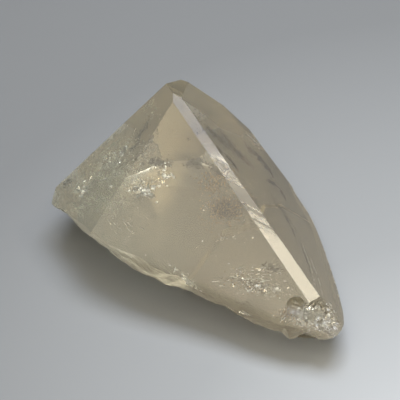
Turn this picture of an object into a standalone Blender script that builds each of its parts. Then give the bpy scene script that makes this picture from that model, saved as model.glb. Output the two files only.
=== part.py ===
"""Rough topaz crystal: one broken-off end of a clear crystal, lying on its cleavage.

Natural flat faces meet at the apex and fall away to the left, front and right, with a
long narrow bevel along the ridge. Everything below them is broken: an undercut rim,
shell-shaped scars, and the flat cleavage that the stone rests on.

Sizes are in millimetres and angles in degrees. +X is right, +Y is back, +Z is up, and
the origin is under the middle of the stone, at the level that it rests on.
"""

import math

import bmesh
import bpy
from mathutils import Matrix, Vector, noise

MM = 0.001
UPRIGHT = 90.0

# The top of the ridge, where the front and left faces meet above the bevel.
APEX = Vector((-2.8, 12.9, 22.0))

# Natural faces: the bearing of the outward normal from +X, its lean from straight up,
# and how far the face lies outside the apex.
FACES = {
    "front": (-106.0, 35.0, 0.0),
    "left": (-158.5, 36.5, 0.0),
    "ridge_bevel": (-41.2, 23.5, -0.39),
    "right": (12.1, 44.9, 0.22),
    "apex_facet": (32.0, 29.7, -0.05),
    "back_left": (130.0, 72.5, 2.95),
}

# Upright natural faces at the back: the bearing of each, and how far it lies outside the
# apex.
PRISM_FACES = {
    "prism_back": (91.0, 5.45),
    "prism_corner": (67.0, 7.92),
    "prism_right": (41.2, 10.91),
}

# The broken outline seen from above, anticlockwise from the left corner. Each point has
# its place and how far the resting face lies inside it.
OUTLINE = (
    (-21.6, 5.0, 7.0),
    (-20.2, 3.6, 7.0),
    (-18.6, 1.5, 7.5),
    (-17.3, -0.5, 8.0),
    (-15.7, -2.6, 8.0),
    (-13.0, -4.6, 7.5),
    (-10.2, -6.7, 7.0),
    (-8.0, -8.1, 6.5),
    (-6.2, -8.8, 6.5),
    (-4.3, -9.9, 6.5),
    (-2.1, -10.5, 6.0),
    (0.0, -11.4, 6.0),
    (2.2, -12.5, 6.0),
    (4.3, -13.3, 6.5),
    (6.5, -14.6, 7.0),
    (8.2, -15.6, 7.0),
    (10.1, -16.7, 7.0),
    (11.9, -17.7, 6.5),
    (13.3, -18.2, 6.0),
    (14.6, -17.9, 6.5),
    (16.2, -17.6, 6.5),
    (17.8, -18.5, 6.0),
    (19.2, -18.5, 5.5),
    (20.1, -18.3, 5.0),
    (21.2, -16.6, 3.5),
    (21.5, -14.3, 3.0),
    (21.3, -11.3, 3.0),
    (20.4, -6.0, 3.0),
    (18.9, 0.5, 2.5),
    (17.4, 5.0, 2.0),
    (15.2, 8.3, 1.6),
    (14.0, 12.6, 0.6),
    (12.4, 15.9, 0.5),
    (10.4, 17.8, 0.3),
    (7.8, 19.2, 0.3),
    (5.2, 19.9, 0.3),
    (1.6, 19.9, 0.3),
    (-1.0, 19.7, 0.3),
    (-4.5, 19.9, 0.3),
    (-8.4, 19.0, 0.5),
    (-11.5, 16.3, 1.5),
    (-15.0, 13.6, 2.5),
    (-18.0, 11.2, 4.0),
    (-20.4, 8.6, 5.5),
)

# The drum that the stone starts as: its columns, its rows below and above the rim, how
# far it leans out above the rim, and how tall it is before the natural faces are cut.
COLUMNS = 132
ROWS_BELOW = 10
ROWS_ABOVE = 2
LEAN_OUT = 1.2
BLANK_TOP = 30.0
CURVE_STEPS = 12  # steps between two outline points, where the outline is smoothed

# Relief of the broken sides: depth and size of the hollows, and depth, height and size
# of the ledges. The undercut bellies out a little, the relief dies away at the rim, and
# its level is chosen so that it lies inside the plain wall.
HOLLOW_DEPTH = 0.9
HOLLOW_SIZE = 7.0
HOLLOW_OFFSET = Vector((3.1, 7.7, 1.3))
RELIEF_LEVEL = 0.5
LEDGE_DEPTH = 0.45
LEDGE_STEP = 1.6
LEDGE_SIZE = 4.0
LEDGE_SWAY = 2.5
UNDERCUT_BELLY = 0.85
RELIEF_FADE = 0.6

# Shell-shaped scars: centre of the ball that each was struck out by, its radius, the
# point of the blow, and the height and spacing of the ripples round that point.
SCARS = {
    "ridge_end": ((19.8, -16.9, 10.6), 5.45, (17.0, -13.4, 7.8), 0.1, 0.9),
    "front_pit": ((14.2, -14.9, 8.3), 1.9, (14.6, -13.5, 7.6), 0.03, 0.5),
    "front_spall": ((-3.0, -18.4, 14.4), 10.6, (-4.5, -9.8, 6.4), 0.08, 0.9),
    "left_corner": ((-30.5, 9.0, 15.2), 11.9, (-21.6, 6.0, 7.4), 0.16, 1.4),
    "back_foot": ((5.5, 23.9, -1.5), 7.0, (5.5, 17.5, 2.4), 0.1, 1.1),
    "back_lower": ((-14.0, 28.5, 0.0), 14.2, (-11.0, 17.0, 5.0), 0.2, 1.7),
    "right_foot": ((31.0, 3.0, -6.5), 14.6, (19.0, 1.0, 3.0), 0.18, 1.6),
    "front_undercut": ((5.0, -25.0, -9.0), 17.2, (6.0, -14.0, 4.5), 0.2, 1.8),
}
SCAR_FINENESS = 4
SCAR_SWAY = 0.025  # how far a scar's skin wanders, as a share of its radius
SCAR_SWAY_SIZE = 2.0
RIPPLES_LEFT = 0.35  # share of a ripple's height that is left far from the blow
RIPPLE_REACH = 4  # spacings over which the ripples die away

# A step in the cleavage underneath: its outline from the step's low end on, the height of
# the step there, and how fast the face behind it runs down to the resting face again.
STEP_OUTLINE = (
    (-1.5, -6.1),
    (5.0, 4.4),
    (9.3, 5.9),
    (16.5, 4.5),
    (14.0, -11.0),
    (6.0, -14.0),
)
STEP_HEIGHT = 0.7
STEP_FALL = 0.078
STEP_DROP = 1.0  # how far the cutter reaches below the resting face

ON_PLANE = 0.002  # points this near a natural face are taken to lie on it
MERGE = 0.0001

TOPAZ_COLOUR = (0.60, 0.56, 0.45, 1.0)
TOPAZ_IOR = 1.62
TOPAZ_ROUGHNESS = 0.08


def face_normal(bearing, lean):
    """The outward normal of a face, from its bearing and its lean from straight up."""
    bearing, lean = math.radians(bearing), math.radians(lean)
    return Vector(
        (
            math.cos(bearing) * math.sin(lean),
            math.sin(bearing) * math.sin(lean),
            math.cos(lean),
        )
    )


def roof_height(x, y):
    """How high the natural faces let the stone reach above a point of the plan."""
    heights = []
    for bearing, lean, distance in FACES.values():
        normal = face_normal(bearing, lean)
        level = normal.dot(APEX) + distance
        heights.append((level - normal.x * x - normal.y * y) / normal.z)
    return min(heights)


def smooth_loop(points, count):
    """Points at even spacing on a smooth closed curve through the given ones."""
    fine = []
    total = len(points)
    for i in range(total):
        a, b, c, d = (Vector(points[(i + k) % total]) for k in (-1, 0, 1, 2))
        for step in range(CURVE_STEPS):
            t = step / CURVE_STEPS
            fine.append(
                0.5
                * (
                    2 * b
                    + (c - a) * t
                    + (2 * a - 5 * b + 4 * c - d) * t**2
                    + (3 * b - a - 3 * c + d) * t**3
                )
            )
    ways = [0.0]
    for here, there in zip(fine, fine[1:] + fine[:1]):
        ways.append(ways[-1] + (there.xy - here.xy).length)
    found = []
    i = 0
    for n in range(count):
        way = ways[-1] * n / count
        while ways[i + 1] < way:
            i += 1
        share = (way - ways[i]) / (ways[i + 1] - ways[i])
        found.append(fine[i].lerp(fine[(i + 1) % len(fine)], share))
    return found


def ledge(value):
    """Turns a smooth value into rounded steps, as in stepped fracture."""
    whole = math.floor(value)
    part = value - whole
    return whole + part * part * (3 - 2 * part)


def fracture_relief(place):
    """How far the broken surface lies in or out at a place, before it fades at the rim."""
    hollow = noise.noise(place / HOLLOW_SIZE + HOLLOW_OFFSET)
    height = place.z + LEDGE_SWAY * noise.noise(place / LEDGE_SIZE)
    steps = ledge(height / LEDGE_STEP) - place.z / LEDGE_STEP
    return HOLLOW_DEPTH * (hollow - RELIEF_LEVEL) + LEDGE_DEPTH * (steps - RELIEF_LEVEL)


def wall_place(column, level):
    """Where a point of the drum goes: level 0 is the resting face, 1 is the rim."""
    rim = Vector((column.x, column.y, roof_height(column.x, column.y)))
    outward = Vector((column.x, column.y, 0)).normalized()
    if level > 1:
        up = (level - 1) * ROWS_BELOW / ROWS_ABOVE
        return rim + outward * LEAN_OUT * up + Vector((0, 0, (BLANK_TOP - rim.z) * up))
    undercut = column.z * (1 - level**UNDERCUT_BELLY)
    place = rim - outward * undercut
    place.z = rim.z * level
    fade = max(0.0, math.sin(math.pi * level)) ** RELIEF_FADE
    return place + outward * fade * fracture_relief(place)


def broken_blank():
    """The broken body with its top left tall: a spun drum, carried to the outline."""
    bm = bmesh.new()
    rows = ROWS_BELOW + ROWS_ABOVE
    profile = [bm.verts.new((1, 0, row)) for row in range(rows + 1)]
    line = [bm.edges.new(pair) for pair in zip(profile, profile[1:])]
    bmesh.ops.spin(
        bm,
        geom=profile + line,
        axis=(0, 0, 1),
        cent=(0, 0, 0),
        angle=2 * math.pi,
        steps=COLUMNS,
        use_merge=True,
    )
    bmesh.ops.remove_doubles(bm, verts=bm.verts, dist=MERGE)
    columns = smooth_loop(OUTLINE, COLUMNS)
    for vert in bm.verts:
        turn = math.atan2(vert.co.y, vert.co.x) / (2 * math.pi)
        column = columns[round(turn * COLUMNS) % COLUMNS]
        level = round(vert.co.z) / ROWS_BELOW
        vert.co = wall_place(column, level)
    bmesh.ops.holes_fill(bm, edges=bm.edges, sides=COLUMNS)
    bmesh.ops.recalc_face_normals(bm, faces=bm.faces)
    return bm


def cut_face(bm, bearing, lean, distance):
    """Cuts one natural face flat across the blank and closes it."""
    normal = face_normal(bearing, lean)
    cut = bmesh.ops.bisect_plane(
        bm,
        geom=bm.verts[:] + bm.edges[:] + bm.faces[:],
        dist=ON_PLANE,
        plane_co=APEX + normal * distance,
        plane_no=normal,
        clear_outer=True,
    )
    rim = [e for e in cut["geom_cut"] if isinstance(e, bmesh.types.BMEdge)]
    bmesh.ops.holes_fill(bm, edges=rim, sides=0)


def to_object(bm, name):
    """A finished bmesh in millimetres becomes an object in metres."""
    bmesh.ops.scale(bm, vec=(MM, MM, MM), verts=bm.verts)
    mesh = bpy.data.meshes.new(name)
    bm.to_mesh(mesh)
    bm.free()
    obj = bpy.data.objects.new(name, mesh)
    bpy.context.scene.collection.objects.link(obj)
    return obj


def as_cutter(bm, name):
    """A finished bmesh becomes an object that only cuts others."""
    cutter = to_object(bm, name)
    cutter.hide_render = True
    cutter.display_type = "WIRE"
    return cutter


def scar_cutter(name, centre, radius, blow, ripple, spacing):
    """A ball whose skin ripples round the point of the blow, to strike out one scar."""
    bm = bmesh.new()
    bmesh.ops.create_icosphere(bm, subdivisions=SCAR_FINENESS, radius=radius)
    bmesh.ops.translate(bm, vec=centre, verts=bm.verts)
    bm.normal_update()
    blow = Vector(blow)
    moves = []
    for vert in bm.verts:
        away = (vert.co - blow).length
        sway = SCAR_SWAY * radius * noise.noise(vert.co / SCAR_SWAY_SIZE)
        wave = math.cos(2 * math.pi * (away + sway) / spacing)
        fade = RIPPLES_LEFT + math.exp(-away / (RIPPLE_REACH * spacing))
        moves.append(vert.normal * (ripple * wave * fade + sway))
    for vert, move in zip(bm.verts, moves):
        vert.co += move
    return as_cutter(bm, name)


def step_cutter():
    """A thin sloping slab that cuts the step into the cleavage underneath."""
    bm = bmesh.new()
    foot = [bm.verts.new((x, y, -STEP_DROP)) for x, y in STEP_OUTLINE]
    slab = bmesh.ops.contextual_create(bm, geom=foot)["faces"]
    raised = bmesh.ops.extrude_face_region(bm, geom=slab)["geom"]
    start, end = (Vector(point) for point in STEP_OUTLINE[:2])
    along = (end - start).normalized()
    away = Vector((along.y, -along.x))
    for vert in raised:
        if isinstance(vert, bmesh.types.BMVert):
            vert.co.z = STEP_HEIGHT - STEP_FALL * (vert.co.xy - start).dot(away)
    bmesh.ops.recalc_face_normals(bm, faces=bm.faces)
    return as_cutter(bm, "cleavage_step")


def topaz_material():
    """Clear, faintly champagne topaz."""
    material = bpy.data.materials.new("topaz")
    material.use_nodes = True
    shader = material.node_tree.nodes["Principled BSDF"]
    shader.inputs["Base Color"].default_value = TOPAZ_COLOUR
    shader.inputs["Roughness"].default_value = TOPAZ_ROUGHNESS
    shader.inputs["Metallic"].default_value = 0.0
    shader.inputs["IOR"].default_value = TOPAZ_IOR
    shader.inputs["Transmission Weight"].default_value = 1.0
    return material


def shift_to_origin(obj):
    """The move that brings the middle of the stone's underside over the origin."""
    bpy.context.view_layer.update()
    seen = obj.evaluated_get(bpy.context.evaluated_depsgraph_get())
    corners = [vert.co for vert in seen.data.vertices]
    low = Vector([min(c[i] for c in corners) for i in range(3)])
    high = Vector([max(c[i] for c in corners) for i in range(3)])
    return Vector((-(low.x + high.x) / 2, -(low.y + high.y) / 2, -low.z))


def main():
    """Builds the crystal: the blank, its natural faces, its scars and its step."""
    for obj in list(bpy.data.objects):
        bpy.data.objects.remove(obj)
    bm = broken_blank()
    for bearing, lean, distance in FACES.values():
        cut_face(bm, bearing, lean, distance)
    for bearing, distance in PRISM_FACES.values():
        cut_face(bm, bearing, UPRIGHT, distance)
    crystal = to_object(bm, "topaz_crystal")
    crystal.data.materials.append(topaz_material())
    cutters = [scar_cutter("scar_" + name, *scar) for name, scar in SCARS.items()]
    cutters.append(step_cutter())
    for cutter in cutters:
        cut = crystal.modifiers.new(cutter.name, "BOOLEAN")
        cut.operation = "DIFFERENCE"
        cut.object = cutter
        cut.solver = "EXACT"
    shift = shift_to_origin(crystal)
    for obj in (crystal, *cutters):
        obj.data.transform(Matrix.Translation(shift))


main()
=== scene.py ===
"""A rough topaz crystal, lying on its cleavage on a pale table under soft light.

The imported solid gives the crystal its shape. Its flat natural faces stay as they are, its
broken faces are cut finer and take bowls and chips, the bevel along its ridge is etched,
and the flaws inside it are small flakes and grains of their own.
"""

import math
import random

import bmesh
import bpy
from mathutils import Euler, Matrix, Quaternion, Vector, noise
from mathutils.bvhtree import BVHTree

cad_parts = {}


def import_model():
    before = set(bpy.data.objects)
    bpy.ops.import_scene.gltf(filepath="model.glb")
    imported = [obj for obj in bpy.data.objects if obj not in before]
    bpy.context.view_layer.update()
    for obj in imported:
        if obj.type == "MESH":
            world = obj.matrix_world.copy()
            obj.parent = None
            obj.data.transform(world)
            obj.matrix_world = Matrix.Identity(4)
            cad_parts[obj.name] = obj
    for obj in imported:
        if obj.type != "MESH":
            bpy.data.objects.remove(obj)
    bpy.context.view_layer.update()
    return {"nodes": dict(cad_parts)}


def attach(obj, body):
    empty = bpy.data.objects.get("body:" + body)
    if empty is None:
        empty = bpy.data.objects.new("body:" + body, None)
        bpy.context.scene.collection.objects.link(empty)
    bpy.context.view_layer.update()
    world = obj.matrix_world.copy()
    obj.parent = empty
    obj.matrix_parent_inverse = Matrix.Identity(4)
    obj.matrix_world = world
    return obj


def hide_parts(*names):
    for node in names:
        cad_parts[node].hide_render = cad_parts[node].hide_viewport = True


MM = 0.001
UP = Vector((0, 0, 1))

# The photograph's view: what it looks at, how steeply, from how far, and how wide.
AIM = Vector((0.8, 11.64, 0.0)) * MM
LOOK_DOWN = 50.0
CAMERA_DISTANCE = 260 * MM
VIEW_WIDTH = 62.5 * MM
SENSOR = 36.0
NEAREST_SEEN = 10 * MM

# Soft light comes from all round, and from square lights that all lie as far from the
# stone. Each light: its bearing from +X and its height in degrees, its width and height
# in metres, its power in watts, and its colour.
WORLD_COLOUR = (0.80, 0.78, 0.66, 1)
WORLD_STRENGTH = 0.09
LIGHT_DISTANCE = 0.6
LIGHTS = (
    ("window", 76, 67, (0.4, 0.3), 3.9, (0.93, 1.0, 1.1)),
    ("ridge_light", 13.1, 54, (0.0892, 0.12), 0.315, (1.0, 0.92, 0.74)),
    ("sky_patch", 27.7, 56, (0.09, 0.12), 0.108, (0.746, 0.808, 1.0)),
    ("ceiling", -118, 74, (0.66, 0.44), 1.97, (1.0, 0.93, 0.77)),
    ("low_fill", -35, 28, (0.5, 0.4), 0.35, (1.0, 1.0, 0.88)),
    ("left_sheen", 160, 26, (0.18, 0.18), 0.084, (0.99, 1.0, 0.93)),
)

FLOOR_SIZE = 1.2
FLOOR_DROP = 0.05 * MM
FLOOR_FINISH = 0.9

# The table's colour holds a painted pool of light, palest in front to the right: where
# its middle is, how far it reaches, and its greys from the far side to there.
LIGHT_POOL_MIDDLE = Vector((45.0, -45.0, 0.0)) * MM
LIGHT_POOL_REACH = 130 * MM
LIGHT_POOL_GREYS = (
    (0.0, 0.174),
    (0.25, 0.193),
    (0.45, 0.263),
    (0.62, 0.32),
    (0.8, 0.46),
    (1.0, 0.54),
)
FLOOR_TINT = (0.98, 1.0, 1.03)

# Natural faces are the large flat ones. The bevel along the ridge is known by its lean,
# and the cleavage faces down.
NATURAL_AREA = 3.9 * MM * MM
FLAT_WITHIN = math.radians(0.15)
MERGE = 0.0001 * MM
BEVEL_LEAN = math.radians(23.5)
BEVEL_LEAN_WITHIN = math.radians(1.0)
CLEAVAGE_NORMAL_BELOW = -0.5

# How rough each kind of face is.
NATURAL_FINISH = 0.04
CLEAVAGE_FINISH = 0.15
BROKEN_FINISH = 0.45
FAN_FINISH = 0.2
ETCHED_FINISH = 0.07
DULL_FINISH = 0.28

# Broken surfaces: how fine their mesh is, their bowls and chips, how fast those get
# shallower from the middle, and the chips in the natural faces' rims.
BROKEN_EDGE = 0.45 * MM
BROKEN_ROUNDS = 4
BOWL_SIZE = 2.4 * MM
BOWL_DEPTH = 0.12 * MM
CHIP_SIZE = 0.8 * MM
CHIP_DEPTH = 0.09 * MM
BOWL_FALL = 1.6
RIM_CHIP_SIZE = 1.4 * MM
RIM_CHIP_DEPTH = 0.25 * MM
RIM_CHIP_LEAST = 0.15  # the share of that depth on rims that don't face the viewer

# The scoop at the low end of the ridge breaks in a fan of sharp ridges: where the fan
# starts, from where along X and Z it lies, how far up it faces, its finer mesh, the turn
# between ridges, their depth, the share of that at the start, how far out it is full, and
# how uneven they are.
FAN_START = Vector((16.4, -11.0, 0.0)) * MM
FAN_FROM_X = 15.6 * MM
FAN_FROM_Z = 3.0 * MM
FAN_NORMAL_ABOVE = 0.2
FAN_EDGE = 0.2 * MM
FAN_STEP = math.radians(11)
FAN_DEPTH = 0.16 * MM
FAN_AT_START = 0.25
FAN_REACH = 6 * MM
FAN_UNEVENNESS = 0.5

# The foot of the tip is bitten away under its notch: where, how widely and how deeply.
# Faces that face down more than this stay flat.
FOOT_BITE = Vector((16.3, -15.2, 0.6)) * MM
FOOT_REACH = 3.0 * MM
FOOT_DEPTH = 2.0 * MM
FOOT_NORMAL_ABOVE = -0.9

# The bevel's etching: the ways across its striations and across its length, how finely it
# is cut along each, the stretches that are etched, pitted and dull, and the pits and
# striations. The noise that cuts it into bands starts at a place of its own.
ETCH_WAY = Vector((0.33, 0.94, 0.0))
ETCH_ROW = 0.055 * MM
BEVEL_ACROSS = Vector((0.8, 0.6, 0.0))
ETCH_COLUMN = 0.07 * MM
ETCHED = (-12.0 * MM, 5.83 * MM)
PITTED = (-1.3 * MM, 5.83 * MM)
PITTED_FADE = 0.4 * MM
DULL = (-0.2 * MM, 3.9 * MM)
DULL_BAND = 0.3 * MM
DULL_BAND_START = Vector((2.9, 0.0, 0.4))
DULL_SHARE = -0.16  # lower means that more of the stretch is dull
PIT_SIZE = 0.2 * MM
PIT_DEPTH = 0.011 * MM
STEP_SIZE = 0.5 * MM
STEP_START = Vector((7.3, 0.0, 1.7))
STEP_DEPTH = 0.007 * MM

# Clear topaz: how it bends light and lets it through, and how it swallows it on the way.
TOPAZ_IOR = 1.62
TOPAZ_TRANSMISSION = 0.9
ABSORBING_COLOUR = (0.80, 0.72, 0.52, 1)
ABSORBING_DENSITY = 40.0

# The topaz's colours on its left and its right, where along X the one turns into the other,
# and how far that sways.
TOPAZ_COLOURS = ((0.85, 0.83, 0.71), (0.875, 0.80, 0.655))
TOPAZ_ZONE = (-9 * MM, 6 * MM)
TOPAZ_SWAY = 6 * MM

# Soft patches: how many there are to a metre in the topaz and in its flaws, their detail,
# and the noise values where they start and are full.
TOPAZ_PATCHES = 120.0
FLAW_PATCHES = 700.0
PATCH_DETAIL = 3.0
PATCH_FROM = 0.35
PATCH_TO = 0.65

# The two colours of each kind of flaw, and the two roughnesses between which it varies.
MIRROR_COLOURS = ((0.98, 0.98, 0.97), (0.84, 0.88, 0.94))
MIRROR_FINISH = (0.15, 0.35)
HAZE_COLOURS = ((0.80, 0.83, 0.76), (0.62, 0.65, 0.60))
HAZE_FINISH = (0.3, 0.5)
MILKY_COLOURS = ((0.97, 0.97, 0.95), (0.80, 0.82, 0.80))
DARK_COLOURS = ((0.045, 0.034, 0.015), (0.085, 0.065, 0.033))
RUSTY_COLOURS = ((0.17, 0.105, 0.043), (0.30, 0.20, 0.095))
BROWN_COLOURS = ((0.08, 0.045, 0.014), (0.15, 0.09, 0.035))
# The golden grains are real grains, but their pale gold is a painted glint: a matt colour in
# place of a flash of light.
GOLDEN_GLINT_COLOURS = ((0.62, 0.42, 0.18), (0.45, 0.31, 0.15))
DULL_FLAW_FINISH = (0.4, 0.6)

# Small cracks lie near the plane that flashes the light from above to the viewer through
# the front face or the left one. Each leans a little from it, in radians.
FRONT = Vector((-0.05, -0.35, 0.94)).normalized()
LEFT = Vector((-0.2, -0.24, 0.95)).normalized()
CRACK_TILT = 0.28

# Flakes: their corners, how wide their top is against their foot, and in millimetres their
# thickness and how far inside the stone's skin they stay. Their least length, and how much
# longer the few longest are, are shares of their size. Their width is a share of their
# length.
FLAKE_CORNERS = 5
HAZE_CORNERS = 3
FLAKE_TOP = 0.7
CRACK_THICKNESS = 0.02
SKIN = 0.12
FLAKE_LEAST = 0.35
SPARKLE_LONGER = 1.4
VEIL_LONGER = 1.2
FLAKE_WIDTHS = (0.3, 0.9)

# Veils: how far out their flakes lie, as a share of the veil's reach, how many waves they
# have to a reach, how full a place has to be to hold flakes, and how many broad and fine
# gaps there are to a millimetre.
VEIL_SPREAD = 0.5
VEIL_WAVES = 2
VEIL_GAPS = 0.35
DARK_VEIL_GAPS = 0.1
BROAD_GAPS = 0.8
FINE_GAPS = 2.5
FINE_GAPS_SHARE = 0.7

# Streaks and grains: how far a streak strays from its way, and the lengths and widths of
# streaks and the widths of grains, as shares of their size.
STREAK_STRAY = 0.12
STREAK_LENGTHS = (1.5, 5.0)
STREAK_WIDTHS = (0.3, 0.7)
GRAIN_WIDTHS = (0.3, 1.0)

# Flaws, in millimetres. Sparkles: the way that their cracks face, the middle of each group,
# how far it spreads along X, Y and Z, how many flakes it has, and their size.
SPARKLES = (
    (FRONT, (-7.5, 5.4, 9.7), (1.1, 0.7, 0.8), 120, 0.22),
    (FRONT, (-6.9, 4.6, 9.9), (0.6, 0.35, 0.35), 34, 0.42),
    (FRONT, (-4.2, 7.3, 10.8), (0.6, 0.6, 1.2), 70, 0.26),
    (LEFT, (-9.3, 10.9, 10.7), (0.15, 0.2, 0.6), 14, 0.45),
    (LEFT, (-15.9, 6.2, 8.6), (0.5, 0.6, 1.2), 60, 0.22),
    (LEFT, (-11.5, 9.5, 9.8), (1.6, 1.6, 1.6), 180, 0.14),
    (FRONT, (10.6, -9.8, 5.6), (1.4, 0.4, 0.5), 60, 0.2),
    (FRONT, (7.9, -9.6, 5.4), (1.6, 0.5, 0.5), 30, 0.2),
    (FRONT, (16.5, -14.2, 5.0), (1.6, 1.0, 0.8), 200, 0.26),
    (FRONT, (14.5, -14.6, 5.2), (1.3, 0.9, 0.8), 90, 0.24),
    (FRONT, (18.8, -15.4, 5.2), (1.2, 0.6, 0.5), 110, 0.26),
    (FRONT, (18.2, -15.2, 5.6), (1.8, 1.4, 1.0), 350, 0.12),
    (FRONT, (5.5, -2.9, 8.6), (1.4, 0.3, 0.3), 24, 0.2),
    (FRONT, (0.0, 2.0, 7.0), (7.0, 4.0, 3.0), 90, 0.1),
)
# Streaks: the middle of each group, its spread, how many it has, their size, and their way.
STREAKS = (
    ((7.0, -13.4, 4.2), (0.8, 0.1, 0.1), 12, 0.26, (1.0, -0.3, -0.3)),
    ((8.3, -7.4, 5.5), (3.0, 0.9, 0.5), 60, 0.14, (1.0, 0.1, 0.0)),
    ((-9.5, -0.5, 8.0), (1.8, 1.0, 0.8), 26, 0.1, (0.8, -0.7, -0.4)),
)
MILKY_STREAKS = (
    ((-16.4, 8.4, 7.3), (0.3, 0.3, 0.8), 14, 0.16, (0.1, 0.3, 1.0)),
    ((-14.7, 7.2, 7.9), (0.3, 0.3, 0.9), 12, 0.16, (0.1, 0.3, 1.0)),
    ((16.9, -14.3, 5.9), (0.6, 0.2, 0.3), 40, 0.13, (1.0, -0.3, -0.4)),
    ((16.6, -15.0, 5.6), (0.3, 0.5, 0.3), 34, 0.13, (0.7, -1.0, -0.3)),
    ((17.6, -14.6, 5.4), (0.6, 0.5, 0.3), 34, 0.13, (1.0, -0.8, -0.5)),
    ((15.9, -15.3, 5.3), (0.2, 0.5, 0.3), 24, 0.13, (0.2, -1.0, -0.2)),
    ((18.6, -15.9, 4.8), (0.9, 0.2, 0.2), 34, 0.12, (1.0, -0.4, -0.2)),
)
# Veils, healed cracks full of tiny flakes: the way that the flakes face, the middle of each
# veil, the two ways that it reaches out, how far it bows, how many flakes, and their size.
BRIGHT_VEILS = (
    (FRONT, (9.0, -8.8, 5.6), (4.6, -1.6, -0.4), (0.3, 1.2, 0.8), 0.5, 200, 0.12),
    (FRONT, (-1.2, -7.9, 5.1), (2.3, -1.9, -0.7), (0.1, 0.4, 0.4), 0.1, 600, 0.1),
    (FRONT, (16.0, -14.4, 5.0), (3.2, -1.0, -0.6), (0.4, 1.4, 0.9), 0.4, 420, 0.12),
    (FRONT, (1.5, 2.5, 9.5), (4.0, 1.0, 0.5), (0.0, 2.4, 1.6), 1.0, 240, 0.07),
)
MILKY_VEILS = (
    (FRONT, (17.4, -14.6, 4.9), (1.6, -0.6, -0.4), (0.4, 1.0, 0.6), 0.4, 260, 0.1),
    (FRONT, (18.6, -14.6, 5.4), (1.6, -2.2, -1.4), (1.2, 0.6, 0.4), 0.3, 420, 0.09),
    (FRONT, (9.5, -9.2, 5.4), (4.0, -1.4, -0.4), (0.2, 0.6, 0.4), 0.4, 260, 0.09),
    (FRONT, (-8.5, 6.5, 10.0), (2.2, 0.4, 0.2), (0.0, 1.4, 1.6), 0.6, 300, 0.12),
)
HAZE_VEILS = (
    (LEFT, (-11.0, 11.5, 10.5), (3.4, 1.2, 0.6), (-0.6, 0.6, 2.0), 0.8, 1800, 0.1),
    (LEFT, (-12.6, 8.0, 9.2), (2.6, -0.6, 0.4), (-0.3, 0.9, 1.6), 0.6, 1500, 0.1),
    (LEFT, (-16.0, 6.6, 7.6), (2.0, -0.8, 0.2), (-0.3, 0.6, 1.2), 0.4, 1200, 0.1),
    (LEFT, (-13.2, 4.0, 8.0), (3.4, -0.4, 0.9), (-0.4, 1.0, 1.8), 0.5, 3200, 0.09),
    (LEFT, (-10.0, 6.6, 10.6), (3.0, 0.6, 0.8), (-0.4, 1.2, 2.0), 0.5, 2200, 0.09),
    (LEFT, (-16.6, 4.0, 6.4), (1.6, -0.8, 0.0), (-0.3, 0.8, 1.4), 0.4, 900, 0.09),
    (LEFT, (-5.8, 15.4, 16.0), (1.6, -0.6, -0.6), (-0.3, 1.0, 1.5), 0.3, 500, 0.07),
    (LEFT, (-12.0, 8.5, 9.5), (4.5, 2.0, 1.5), (-0.4, 1.6, 2.0), 1.2, 4500, 0.08),
    (FRONT, (9.5, -9.2, 5.2), (4.4, -1.6, -0.4), (0.3, 1.0, 0.7), 0.5, 1100, 0.09),
    (LEFT, (15.9, -6.0, 5.2), (0.6, -3.4, -0.3), (0.1, 0.1, 0.4), 0.2, 900, 0.09),
    (LEFT, (16.9, -7.6, 4.2), (0.5, -2.8, -0.5), (0.1, 0.1, 0.4), 0.2, 700, 0.09),
    (FRONT, (-1.2, -7.9, 5.1), (2.4, -2.0, -0.7), (0.1, 0.5, 0.5), 0.1, 1300, 0.09),
)
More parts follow.
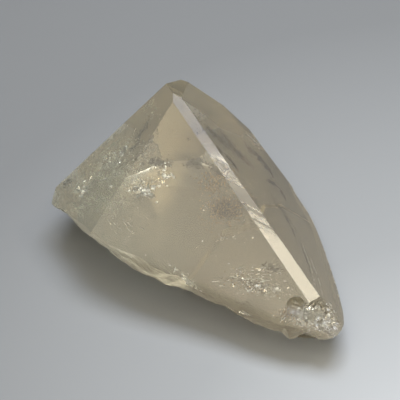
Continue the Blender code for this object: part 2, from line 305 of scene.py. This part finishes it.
DARK_VEILS = (
    (FRONT, (-4.9, 9.2, 11.2), (2.1, -0.3, 0.0), (0.0, 0.45, 0.5), 0.3, 240, 0.18),
    (FRONT, (-4.9, 9.2, 11.2), (2.3, -0.3, 0.0), (0.0, 0.6, 0.7), 0.3, 900, 0.07),
    (FRONT, (0.4, 8.7, 11.6), (1.7, -0.4, 0.1), (0.0, 0.45, 0.5), 0.3, 200, 0.18),
    (FRONT, (0.4, 8.7, 11.6), (1.9, -0.4, 0.1), (0.0, 0.6, 0.7), 0.3, 900, 0.07),
    (FRONT, (3.7, 7.2, 11.5), (1.0, -0.9, 0.0), (0.0, 0.45, 0.5), 0.2, 240, 0.14),
    (LEFT, (-5.8, 14.2, 11.0), (0.8, 0.8, 1.4), (0.8, 0.3, -0.4), 0.3, 420, 0.08),
    (LEFT, (-7.2, 11.6, 11.0), (0.6, 0.6, 1.2), (0.8, 0.3, -0.2), 0.3, 360, 0.08),
    (LEFT, (-18.6, 8.9, 6.2), (0.9, 0.3, 0.3), (0.0, 0.5, 1.0), 0.3, 120, 0.15),
    (LEFT, (6.8, 13.0, 8.3), (0.9, 0.4, -0.2), (0.0, 0.4, 1.8), 0.5, 300, 0.1),
    (LEFT, (8.2, 12.3, 7.4), (0.8, 0.2, -0.2), (0.0, 0.4, 1.4), 0.5, 260, 0.1),
    (LEFT, (2.3, 10.3, 15.2), (2.1, -1.2, -1.4), (0.3, 0.6, -0.1), 0.2, 1300, 0.09),
    (LEFT, (5.6, 9.4, 12.4), (2.6, -1.6, -1.6), (0.2, 0.9, 0.3), 0.3, 900, 0.08),
    (LEFT, (12.6, 2.0, 8.2), (2.4, -3.0, -1.6), (0.3, 0.7, 0.3), 0.4, 700, 0.08),
    (LEFT, (15.2, -5.2, 5.0), (0.6, -3.0, -0.3), (0.1, 0.1, 0.4), 0.2, 260, 0.09),
    (LEFT, (13.4, 0.0, 7.0), (0.9, -2.6, -0.6), (0.1, 0.3, 0.5), 0.3, 500, 0.08),
    (FRONT, (11.5, -7.2, 6.9), (1.5, -0.4, -0.2), (0.1, 0.5, 0.4), 0.3, 420, 0.1),
    (FRONT, (7.0, -8.6, 5.5), (2.6, -0.5, -0.2), (0.0, 0.3, 0.3), 0.2, 300, 0.09),
    (FRONT, (9.6, -9.6, 5.3), (2.2, -0.8, -0.2), (0.1, 0.8, 0.4), 0.3, 260, 0.09),
    (LEFT, (4.4, 10.8, 13.2), (3.0, -2.0, -2.0), (0.3, 0.8, 0.2), 0.3, 1100, 0.08),
    (LEFT, (9.0, 11.9, 7.6), (0.9, -0.7, -0.3), (0.1, 0.5, 0.8), 0.3, 1100, 0.13),
    (LEFT, (10.9, 7.8, 7.4), (0.9, -0.2, 0.0), (0.0, 0.2, 0.4), 0.2, 560, 0.13),
    (LEFT, (10.4, 10.6, 7.6), (0.7, -0.8, -0.2), (0.1, 0.4, 0.6), 0.2, 700, 0.13),
    (LEFT, (12.8, 6.3, 6.8), (0.4, -0.7, -0.2), (0.1, 0.3, 0.5), 0.2, 500, 0.12),
)
BROWN_VEILS = (
    (FRONT, (2.6, 4.6, 11.6), (2.2, -0.6, -0.4), (0.2, 1.2, 1.0), 0.5, 420, 0.13),
    (FRONT, (4.8, 1.0, 10.4), (1.6, -0.6, -0.5), (0.2, 1.2, 1.0), 0.5, 700, 0.14),
    (FRONT, (2.0, -0.5, 9.0), (2.6, -1.2, -0.6), (0.2, 1.6, 1.0), 0.6, 240, 0.09),
    (FRONT, (7.5, -9.0, 5.4), (3.6, -1.0, -0.4), (0.2, 1.2, 0.7), 0.5, 500, 0.1),
)
# Grains: the middle of each group, its spread, how many it has, and their size.
BROWN_GRAINS = (
    ((4.9, 0.9, 10.6), (1.1, 0.75, 0.85), 1000, 0.13),
    ((3.0, 4.8, 12.0), (1.2, 0.6, 0.6), 160, 0.09),
    ((13.6, -14.1, 5.3), (0.9, 0.6, 0.4), 320, 0.1),
)
# Golden grains, whose pale gold is a painted glint.
GOLDEN_GLINT_GRAINS = (
    ((4.6, 0.6, 10.8), (1.2, 0.8, 0.8), 520, 0.11),
    ((3.2, 4.6, 12.1), (1.2, 0.6, 0.6), 160, 0.1),
    ((13.7, -14.0, 5.2), (0.9, 0.6, 0.4), 120, 0.09),
)
DARK_GRAINS = (
    ((-2.6, 13.4, 13.4), (0.5, 0.3, 0.2), 7, 0.14),
    ((-0.4, 12.1, 13.1), (0.2, 0.2, 0.15), 8, 0.16),
    ((7.5, -11.8, 4.4), (0.9, 0.2, 0.2), 16, 0.12),
)


def link(name, data):
    """A mesh, a light or a camera becomes an object of the scene."""
    obj = bpy.data.objects.new(name, data)
    bpy.context.scene.collection.objects.link(obj)
    return obj


def camera():
    """The camera, at the photograph's angle."""
    data = bpy.data.cameras.new("camera")
    data.sensor_width = SENSOR
    data.lens = SENSOR * CAMERA_DISTANCE / VIEW_WIDTH
    data.clip_start = NEAREST_SEEN
    obj = link("camera", data)
    dip = math.radians(LOOK_DOWN)
    back = Vector((0, -math.cos(dip), math.sin(dip)))
    obj.location = AIM + back * CAMERA_DISTANCE
    obj.rotation_euler = (math.pi / 2 - dip, 0, 0)
    bpy.context.scene.camera = obj


def soft_light(name, bearing, height, size, power, colour):
    """A square soft light that faces the stone, from a bearing and a height in degrees."""
    data = bpy.data.lights.new(name, "AREA")
    data.shape = "RECTANGLE"
    data.size, data.size_y = size
    data.energy = power
    data.color = colour
    obj = link(name, data)
    turn = math.radians(bearing)
    rise = math.radians(height)
    level = math.cos(rise)
    away = Vector((math.cos(turn) * level, math.sin(turn) * level, math.sin(rise)))
    obj.location = AIM + away * LIGHT_DISTANCE
    obj.rotation_euler = away.to_track_quat("Z", "Y").to_euler()


def world():
    """Soft light from all round."""
    scene_world = bpy.data.worlds.new("studio")
    scene_world.use_nodes = True
    back = scene_world.node_tree.nodes["Background"]
    back.inputs["Color"].default_value = WORLD_COLOUR
    back.inputs["Strength"].default_value = WORLD_STRENGTH
    bpy.context.scene.world = scene_world


def new_material(name):
    """A material with nodes, and its tree and shader."""
    material = bpy.data.materials.new(name)
    material.use_nodes = True
    tree = material.node_tree
    return material, tree, tree.nodes["Principled BSDF"]


def table_with_painted_light():
    """The table's matt grey with a painted pool of light, palest in front to the right."""
    material, tree, shader = new_material("floor")
    shader.inputs["Roughness"].default_value = FLOOR_FINISH
    place = tree.nodes.new("ShaderNodeTexCoord")
    centred = tree.nodes.new("ShaderNodeMapping")
    centred.vector_type = "TEXTURE"
    centred.inputs["Location"].default_value = LIGHT_POOL_MIDDLE
    centred.inputs["Scale"].default_value = (LIGHT_POOL_REACH, LIGHT_POOL_REACH, LIGHT_POOL_REACH)
    # The painted pool of light: greys that fall off round its middle.
    pool = tree.nodes.new("ShaderNodeTexGradient")
    pool.gradient_type = "SPHERICAL"
    greys = tree.nodes.new("ShaderNodeValToRGB")
    stops = greys.color_ramp.elements
    while len(stops) < len(LIGHT_POOL_GREYS):
        stops.new(0.5)
    for stop, (position, grey) in zip(stops, LIGHT_POOL_GREYS):
        stop.position = position
        stop.color = (*(grey * tint for tint in FLOOR_TINT), 1)
    tree.links.new(place.outputs["Object"], centred.inputs["Vector"])
    tree.links.new(centred.outputs["Vector"], pool.inputs["Vector"])
    tree.links.new(pool.outputs["Fac"], greys.inputs["Fac"])
    tree.links.new(greys.outputs["Color"], shader.inputs["Base Color"])
    return material


def floor():
    """The pale table that the stone lies on."""
    bm = bmesh.new()
    bmesh.ops.create_grid(bm, x_segments=1, y_segments=1, size=FLOOR_SIZE / 2)
    mesh = bpy.data.meshes.new("floor")
    bm.to_mesh(mesh)
    bm.free()
    mesh.materials.append(table_with_painted_light())
    obj = link("floor", mesh)
    obj.location.z = -FLOOR_DROP


def patch_group():
    """A group that puts out a mask of soft cloudy patches, so many to a metre."""
    tree = bpy.data.node_groups.new("patches", "ShaderNodeTree")
    tree.interface.new_socket("Scale", in_out="INPUT", socket_type="NodeSocketFloat")
    tree.interface.new_socket("Patch", in_out="OUTPUT", socket_type="NodeSocketFloat")
    values = tree.nodes.new("NodeGroupInput")
    result = tree.nodes.new("NodeGroupOutput")
    place = tree.nodes.new("ShaderNodeTexCoord")
    cloud = tree.nodes.new("ShaderNodeTexNoise")
    cloud.inputs["Detail"].default_value = PATCH_DETAIL
    patch = tree.nodes.new("ShaderNodeMapRange")
    patch.inputs["From Min"].default_value = PATCH_FROM
    patch.inputs["From Max"].default_value = PATCH_TO
    tree.links.new(place.outputs["Object"], cloud.inputs["Vector"])
    tree.links.new(values.outputs["Scale"], cloud.inputs["Scale"])
    tree.links.new(cloud.outputs["Fac"], patch.inputs["Value"])
    tree.links.new(patch.outputs["Result"], result.inputs["Patch"])
    return tree


def patches(tree, scale):
    """The output of soft patches, so many to a metre, added to a material's tree."""
    group = tree.nodes.new("ShaderNodeGroup")
    group.node_tree = bpy.data.node_groups.get("patches") or patch_group()
    group.inputs["Scale"].default_value = scale
    return group.outputs["Patch"]


def mixed(tree, share, colours):
    """The output of a mix of two colours, added to a material's tree."""
    mix = tree.nodes.new("ShaderNodeMix")
    mix.data_type = "RGBA"
    mix.inputs["A"].default_value = (*colours[0], 1)
    mix.inputs["B"].default_value = (*colours[1], 1)
    tree.links.new(share, mix.inputs["Factor"])
    return mix.outputs["Result"]


def clear_topaz():
    """Clear topaz: greener to the left and pinker to the right, rougher where it broke."""
    material, tree, shader = new_material("clear_topaz")
    shader.inputs["IOR"].default_value = TOPAZ_IOR
    shader.inputs["Transmission Weight"].default_value = TOPAZ_TRANSMISSION
    place = tree.nodes.new("ShaderNodeTexCoord")
    parts = tree.nodes.new("ShaderNodeSeparateXYZ")
    sway = tree.nodes.new("ShaderNodeMath")
    sway.operation = "MULTIPLY_ADD"
    sway.inputs[1].default_value = TOPAZ_SWAY
    zone = tree.nodes.new("ShaderNodeMapRange")
    zone.inputs["From Min"].default_value = TOPAZ_ZONE[0]
    zone.inputs["From Max"].default_value = TOPAZ_ZONE[1]
    tree.links.new(place.outputs["Object"], parts.inputs["Vector"])
    tree.links.new(patches(tree, TOPAZ_PATCHES), sway.inputs[0])
    tree.links.new(parts.outputs["X"], sway.inputs[2])
    tree.links.new(sway.outputs["Value"], zone.inputs["Value"])
    colour = mixed(tree, zone.outputs["Result"], TOPAZ_COLOURS)
    tree.links.new(colour, shader.inputs["Base Color"])
    finish = tree.nodes.new("ShaderNodeAttribute")
    finish.attribute_name = "finish"
    tree.links.new(finish.outputs["Fac"], shader.inputs["Roughness"])
    absorb = tree.nodes.new("ShaderNodeVolumeAbsorption")
    absorb.inputs["Color"].default_value = ABSORBING_COLOUR
    absorb.inputs["Density"].default_value = ABSORBING_DENSITY
    tree.links.new(absorb.outputs["Volume"], tree.nodes["Material Output"].inputs["Volume"])
    return material


def flaw_skin(name, colours, finish):
    """The patchy skin of a flaw, and its shader."""
    material, tree, shader = new_material(name)
    patch = patches(tree, FLAW_PATCHES)
    rough = tree.nodes.new("ShaderNodeMapRange")
    rough.inputs["To Min"].default_value = finish[0]
    rough.inputs["To Max"].default_value = finish[1]
    tree.links.new(mixed(tree, patch, colours), shader.inputs["Base Color"])
    tree.links.new(patch, rough.inputs["Value"])
    tree.links.new(rough.outputs["Result"], shader.inputs["Roughness"])
    return material, shader


def dull_flaw(name, colours):
    """The matt skin of a flaw."""
    material, shader = flaw_skin(name, colours, DULL_FLAW_FINISH)
    shader.inputs["Specular IOR Level"].default_value = 0.0
    return material


def crack_mirror(name, colours, finish):
    """The bright skin of a crack with air in it, which mirrors as metal does."""
    material, shader = flaw_skin(name, colours, finish)
    shader.inputs["Metallic"].default_value = 1.0
    return material


def natural_faces(bm):
    """Joins flat faces. Gives those that the stone grew with, the bevel and cleavage too."""
    bmesh.ops.dissolve_limit(bm, angle_limit=FLAT_WITHIN, verts=bm.verts, edges=bm.edges)
    return {face for face in bm.faces if face.calc_area() > NATURAL_AREA}


def refine(bm, mask, longest, rounds):
    """Cuts the masked faces finer, until no edge of theirs is longer than the longest."""
    for n in range(rounds + 1):
        chosen = [face for face in bm.faces if face[mask] > 0.5]
        bmesh.ops.triangulate(bm, faces=chosen)
        chosen = [face for face in bm.faces if face[mask] > 0.5]
        longer = {e for f in chosen for e in f.edges if e.calc_length() > longest}
        if n == rounds or not longer:
            break
        bmesh.ops.subdivide_edges(bm, edges=list(longer), cuts=1)


def cut_rows(bm, mask, way, step):
    """Cuts the masked faces across a way, at even steps."""
    reach = [v.co.dot(way) for f in bm.faces if f[mask] > 0.5 for v in f.verts]
    for n in range(math.ceil(min(reach) / step), math.ceil(max(reach) / step)):
        chosen = [face for face in bm.faces if face[mask] > 0.5]
        parts = {part for face in chosen for part in (face, *face.edges, *face.verts)}
        place = way * (step * n / way.length_squared)
        bmesh.ops.bisect_plane(bm, geom=list(parts), plane_co=place, plane_no=way)


def bowl(place, size):
    """Depth, 0 to 1, of the shell-shaped bowl that a place lies in."""
    distance = noise.voronoi(place / size)[0][0]
    return max(0.0, 1.0 - BOWL_FALL * distance * distance)


def in_fan(place, normal):
    """Whether a place on the skin belongs to the scoop at the low end."""
    return place.x > FAN_FROM_X and place.z > FAN_FROM_Z and normal.z > FAN_NORMAL_ABOVE


def fan_ridges(place):
    """Depth, about 0 to 1, of the furrows that fan out over the scoop at the low end."""
    way = place.xy - FAN_START.xy
    sway = noise.noise(place / BOWL_SIZE * 2)
    steps = FAN_UNEVENNESS * noise.noise(place / CHIP_SIZE * 2)
    turn = math.atan2(way.y, way.x) / FAN_STEP + sway
    return (abs(turn % 1.0 - 0.5) * 2 + steps) * min(1.0, way.length / FAN_REACH + FAN_AT_START)


def broken_move(vert):
    """How a corner among broken faces moves, into a bowl, a furrow or the bitten foot."""
    if in_fan(vert.co, vert.normal):
        depth = FAN_DEPTH * fan_ridges(vert.co)
    else:
        depth = BOWL_DEPTH * bowl(vert.co, BOWL_SIZE) + CHIP_DEPTH * bowl(vert.co, CHIP_SIZE)
    move = vert.normal * -depth
    bite = 1 - (vert.co - FOOT_BITE).length / FOOT_REACH
    if bite > 0 and vert.normal.z > FOOT_NORMAL_ABOVE:
        move += Vector((0, FOOT_DEPTH * bite, 0))
    return move


def rim_move(vert, flat, broken):
    """How a corner on the rim of one natural face moves, along that flat face."""
    out = sum((face.normal for face in broken), Vector())
    out -= flat * out.dot(flat)
    out.normalize()
    share = max(RIM_CHIP_LEAST, -out.y)
    return out * -(RIM_CHIP_DEPTH * bowl(vert.co, RIM_CHIP_SIZE) * share)


def chip_broken(bm, mask):
    """Presses bowls and chips into the broken faces, and nibbles the natural faces' rims."""
    moves = {}
    for vert in bm.verts:
        broken = [face for face in vert.link_faces if face[mask] > 0.5]
        natural = [face for face in vert.link_faces if face[mask] <= 0.5]
        if broken and not natural:
            moves[vert] = broken_move(vert)
        elif broken and len(natural) == 1:
            moves[vert] = rim_move(vert, natural[0].normal, broken)
    for vert, move in moves.items():
        vert.co += move


def finish_bevel(bm, mask, finish):
    """Gives the etched stretch of the bevel its finish, and the dull bands theirs."""
    for face in bm.faces:
        way = face.calc_center_median().dot(ETCH_WAY)
        band = noise.noise(DULL_BAND_START + Vector((0, way / DULL_BAND, 0)))
        if face[mask] > 0.5 and DULL[0] < way < DULL[1] and band > DULL_SHARE:
            face[finish] = DULL_FINISH
        elif face[mask] > 0.5 and ETCHED[0] < way < ETCHED[1]:
            face[finish] = ETCHED_FINISH


def pit_bevel(bm, mask):
    """Etches pits, and striations across it, into a stretch of the bevel."""
    for vert in bm.verts:
        if not vert.link_faces or any(face[mask] <= 0.5 for face in vert.link_faces):
            continue
        way = vert.co.dot(ETCH_WAY)
        inner = min(way - PITTED[0], PITTED[1] - way)
        share = min(1.0, max(0.0, inner / PITTED_FADE))
        pits = noise.noise(vert.co / PIT_SIZE)
        steps = noise.noise(STEP_START + Vector((0, way / STEP_SIZE, 0)))
        vert.co -= vert.normal * share * (PIT_DEPTH * pits + STEP_DEPTH * steps)


def sort_faces(bm, broken, bevel, finish):
    """Marks the stone's broken faces and its bevel, and gives every face its finish."""
    natural = natural_faces(bm)
    for face in bm.faces:
        face[finish] = NATURAL_FINISH
        if face not in natural:
            face[broken] = 1.0
            face[finish] = BROKEN_FINISH
        elif face.normal.z < CLEAVAGE_NORMAL_BELOW:
            face[finish] = CLEAVAGE_FINISH
        elif abs(face.normal.angle(UP) - BEVEL_LEAN) < BEVEL_LEAN_WITHIN:
            face[bevel] = 1.0


def mark_fan(bm, broken, fan, finish):
    """Marks the broken faces of the scoop, and gives them their finish."""
    for face in bm.faces:
        if face[broken] > 0.5 and in_fan(face.calc_center_median(), face.normal):
            face[fan] = 1.0
            face[finish] = FAN_FINISH


def crystal(frame):
    """The crystal itself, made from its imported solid. Gives a tree of its skin, in metres."""
    node = frame["nodes"]["topaz_crystal"]
    bm = bmesh.new()
    bm.from_mesh(node.data)
    bmesh.ops.remove_doubles(bm, verts=bm.verts, dist=MERGE)
    broken = bm.faces.layers.float.new("broken")
    bevel = bm.faces.layers.float.new("bevel")
    fan = bm.faces.layers.float.new("fan")
    finish = bm.faces.layers.float.new("finish")
    sort_faces(bm, broken, bevel, finish)
    cut_rows(bm, bevel, ETCH_WAY, ETCH_ROW)
    cut_rows(bm, bevel, BEVEL_ACROSS, ETCH_COLUMN)
    refine(bm, broken, BROKEN_EDGE, BROKEN_ROUNDS)
    mark_fan(bm, broken, fan, finish)
    refine(bm, fan, FAN_EDGE, BROKEN_ROUNDS)
    bm.normal_update()
    chip_broken(bm, broken)
    finish_bevel(bm, bevel, finish)
    pit_bevel(bm, bevel)
    for face in bm.faces:
        face.smooth = False
    mesh = bpy.data.meshes.new("crystal_body")
    bm.to_mesh(mesh)
    skin = BVHTree.FromBMesh(bm)
    bm.free()
    obj = link("crystal_body", mesh)
    mesh.materials.append(clear_topaz())
    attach(obj, "root")
    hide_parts("topaz_crystal")
    return skin


def inner_piece(name, bm, material):
    """A finished bmesh in millimetres becomes a flaw inside the stone."""
    bmesh.ops.scale(bm, vec=(MM, MM, MM), verts=bm.verts)
    mesh = bpy.data.meshes.new(name)
    bm.to_mesh(mesh)
    bm.free()
    mesh.materials.append(material)
    obj = link(name, mesh)
    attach(obj, "root")


def inside(skin, place, margin):
    """Whether a place lies deeper in the stone than the margin, under skin that faces up."""
    _, _, _, depth = skin.find_nearest(place * MM)
    above, normal, _, _ = skin.ray_cast(place * MM, UP)
    return above is not None and normal.z > 0 and depth > margin * MM


def scattered(rng, skin, centre, spread, margin):
    """A place near the centre of a flaw, well inside the stone, or None."""
    place = Vector([rng.gauss(middle, width) for middle, width in zip(centre, spread)])
    return place if inside(skin, place, margin) else None


def crack_turn(rng, facing):
    """The turn of a small crack that faces nearly the same way as the others."""
    lean = Euler((rng.gauss(0, CRACK_TILT), rng.gauss(0, CRACK_TILT), 0)).to_quaternion()
    spin = Quaternion((0, 0, 1), rng.uniform(0, math.tau))
    return facing.to_track_quat("Z", "Y") @ lean @ spin


def flake_shape(corners):
    """A flake with so many corners, one unit in radius and height."""
    bm = bmesh.new()
    bmesh.ops.create_cone(
        bm, cap_ends=True, segments=corners, radius1=1, radius2=FLAKE_TOP, depth=1
    )
    mesh = bpy.data.meshes.new("flake")
    bm.to_mesh(mesh)
    bm.free()
    return mesh


def grain_shape():
    """An uneven grain, one unit in radius."""
    bm = bmesh.new()
    bmesh.ops.create_icosphere(bm, subdivisions=1, radius=1)
    mesh = bpy.data.meshes.new("grain")
    bm.to_mesh(mesh)
    bm.free()
    return mesh


def stamp(bm, shape, place, turn, scale):
    """Adds one more of a shape to a bmesh, moved, turned and scaled."""
    copy = shape.copy()
    copy.transform(Matrix.LocRotScale(place, turn, scale))
    bm.from_mesh(copy)
    bpy.data.meshes.remove(copy)


def add_flake(bm, shape, place, turn, length, width):
    """Adds one thin flake."""
    stamp(bm, shape, place, turn, Vector((length, width, CRACK_THICKNESS)))


def flake_length(rng, size, longer):
    """The length of one flake: most are short, and few are long."""
    return size * (FLAKE_LEAST + longer * rng.random() ** 3)


def sparkles(skin, groups, material, seed):
    """Small cracks that flash white."""
    rng = random.Random(seed)
    shape = flake_shape(FLAKE_CORNERS)
    bm = bmesh.new()
    for facing, centre, spread, count, size in groups:
        for _ in range(count):
            length = flake_length(rng, size, SPARKLE_LONGER)
            width = length * rng.uniform(*FLAKE_WIDTHS)
            place = scattered(rng, skin, centre, spread, SKIN + length)
            if place:
                add_flake(bm, shape, place, crack_turn(rng, facing), length, width)
    inner_piece("sparkles", bm, material)


def fullness(place):
    """How full of flakes a veil is at a place, about 0 to 1."""
    broad = noise.noise(place * BROAD_GAPS)
    fine = noise.noise(place * FINE_GAPS)
    return 0.5 + broad + FINE_GAPS_SHARE * fine


def veils(name, skin, groups, material, seed, gaps=VEIL_GAPS, corners=FLAKE_CORNERS):
    """Healed cracks, each a bowed sheet of tiny flakes, with gaps over a share of it."""
    rng = random.Random(seed)
    shape = flake_shape(corners)
    bm = bmesh.new()
    for facing, centre, across, up, bow, count, size in groups:
        across = Vector(across)
        up = Vector(up)
        out = across.cross(up).normalized()
        for _ in range(count):
            u = rng.gauss(0, VEIL_SPREAD)
            v = rng.gauss(0, VEIL_SPREAD)
            wave = noise.noise(Vector((u, v, bow)) * VEIL_WAVES)
            place = Vector(centre) + across * u + up * v + out * bow * (u * u + wave)
            length = flake_length(rng, size, VEIL_LONGER)
            if fullness(place) > gaps and inside(skin, place, SKIN + length):
                width = length * rng.uniform(*FLAKE_WIDTHS)
                add_flake(bm, shape, place, crack_turn(rng, facing), length, width)
    inner_piece(name, bm, material)


def streaks(name, skin, groups, material, seed):
    """Long thin cracks, side by side."""
    rng = random.Random(seed)
    shape = flake_shape(FLAKE_CORNERS)
    bm = bmesh.new()
    for centre, spread, count, size, way in groups:
        for _ in range(count):
            stray = Vector([rng.gauss(0, STREAK_STRAY) for _ in range(3)])
            along = (Vector(way).normalized() + stray).normalized()
            roll = Quaternion((1, 0, 0), rng.uniform(0, math.tau))
            turn = along.to_track_quat("X", "Z") @ roll
            length = size * rng.uniform(*STREAK_LENGTHS)
            width = size * rng.uniform(*STREAK_WIDTHS)
            place = scattered(rng, skin, centre, spread, SKIN + width)
            ends = (length, -length)
            if place and all(inside(skin, place + along * end, SKIN) for end in ends):
                add_flake(bm, shape, place, turn, length, width)
    inner_piece(name, bm, material)


def grains(name, skin, groups, material, seed):
    """Small uneven grains shut in the stone."""
    rng = random.Random(seed)
    shape = grain_shape()
    bm = bmesh.new()
    for centre, spread, count, size in groups:
        for _ in range(count):
            turn = Euler([rng.uniform(0, math.tau) for _ in range(3)])
            scale = Vector([size * rng.uniform(*GRAIN_WIDTHS) for _ in range(3)])
            place = scattered(rng, skin, centre, spread, SKIN + size)
            if place:
                stamp(bm, shape, place, turn, scale)
    inner_piece(name, bm, material)


def flaws(skin):
    """The cracks, veils and grains inside the stone. Each piece has its own seed."""
    mirror = crack_mirror("crack_mirror", MIRROR_COLOURS, MIRROR_FINISH)
    sparkles(skin, SPARKLES, mirror, 3)
    streaks("streaks", skin, STREAKS, mirror, 5)
    veils("bright_veils", skin, BRIGHT_VEILS, mirror, 11)
    milk = dull_flaw("milky_flaw", MILKY_COLOURS)
    veils("milky_veils", skin, MILKY_VEILS, milk, 12)
    streaks("milky_streaks", skin, MILKY_STREAKS, milk, 6)
    haze = crack_mirror("haze", HAZE_COLOURS, HAZE_FINISH)
    veils("haze_veils", skin, HAZE_VEILS, haze, 15, corners=HAZE_CORNERS)
    dusk = dull_flaw("dark_flaw", DARK_COLOURS)
    veils("dark_veils", skin, DARK_VEILS, dusk, 13, gaps=DARK_VEIL_GAPS)
    rust = dull_flaw("rusty_flaw", RUSTY_COLOURS)
    veils("brown_veils", skin, BROWN_VEILS, rust, 14)
    brown = dull_flaw("brown_flaw", BROWN_COLOURS)
    grains("brown_grains", skin, BROWN_GRAINS, brown, 7)
    # Matt grains painted pale gold, a painted glint.
    gold_glint = dull_flaw("golden_painted_glint", GOLDEN_GLINT_COLOURS)
    grains("golden_glint_grains", skin, GOLDEN_GLINT_GRAINS, gold_glint, 8)
    grains("dark_grains", skin, DARK_GRAINS, dusk, 9)


def main():
    """Sets the stage and dresses the stone."""
    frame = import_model()
    camera()
    floor()
    world()
    for light in LIGHTS:
        soft_light(*light)
    skin = crystal(frame)
    flaws(skin)
    bpy.context.scene.view_settings.view_transform = "Standard"


main()
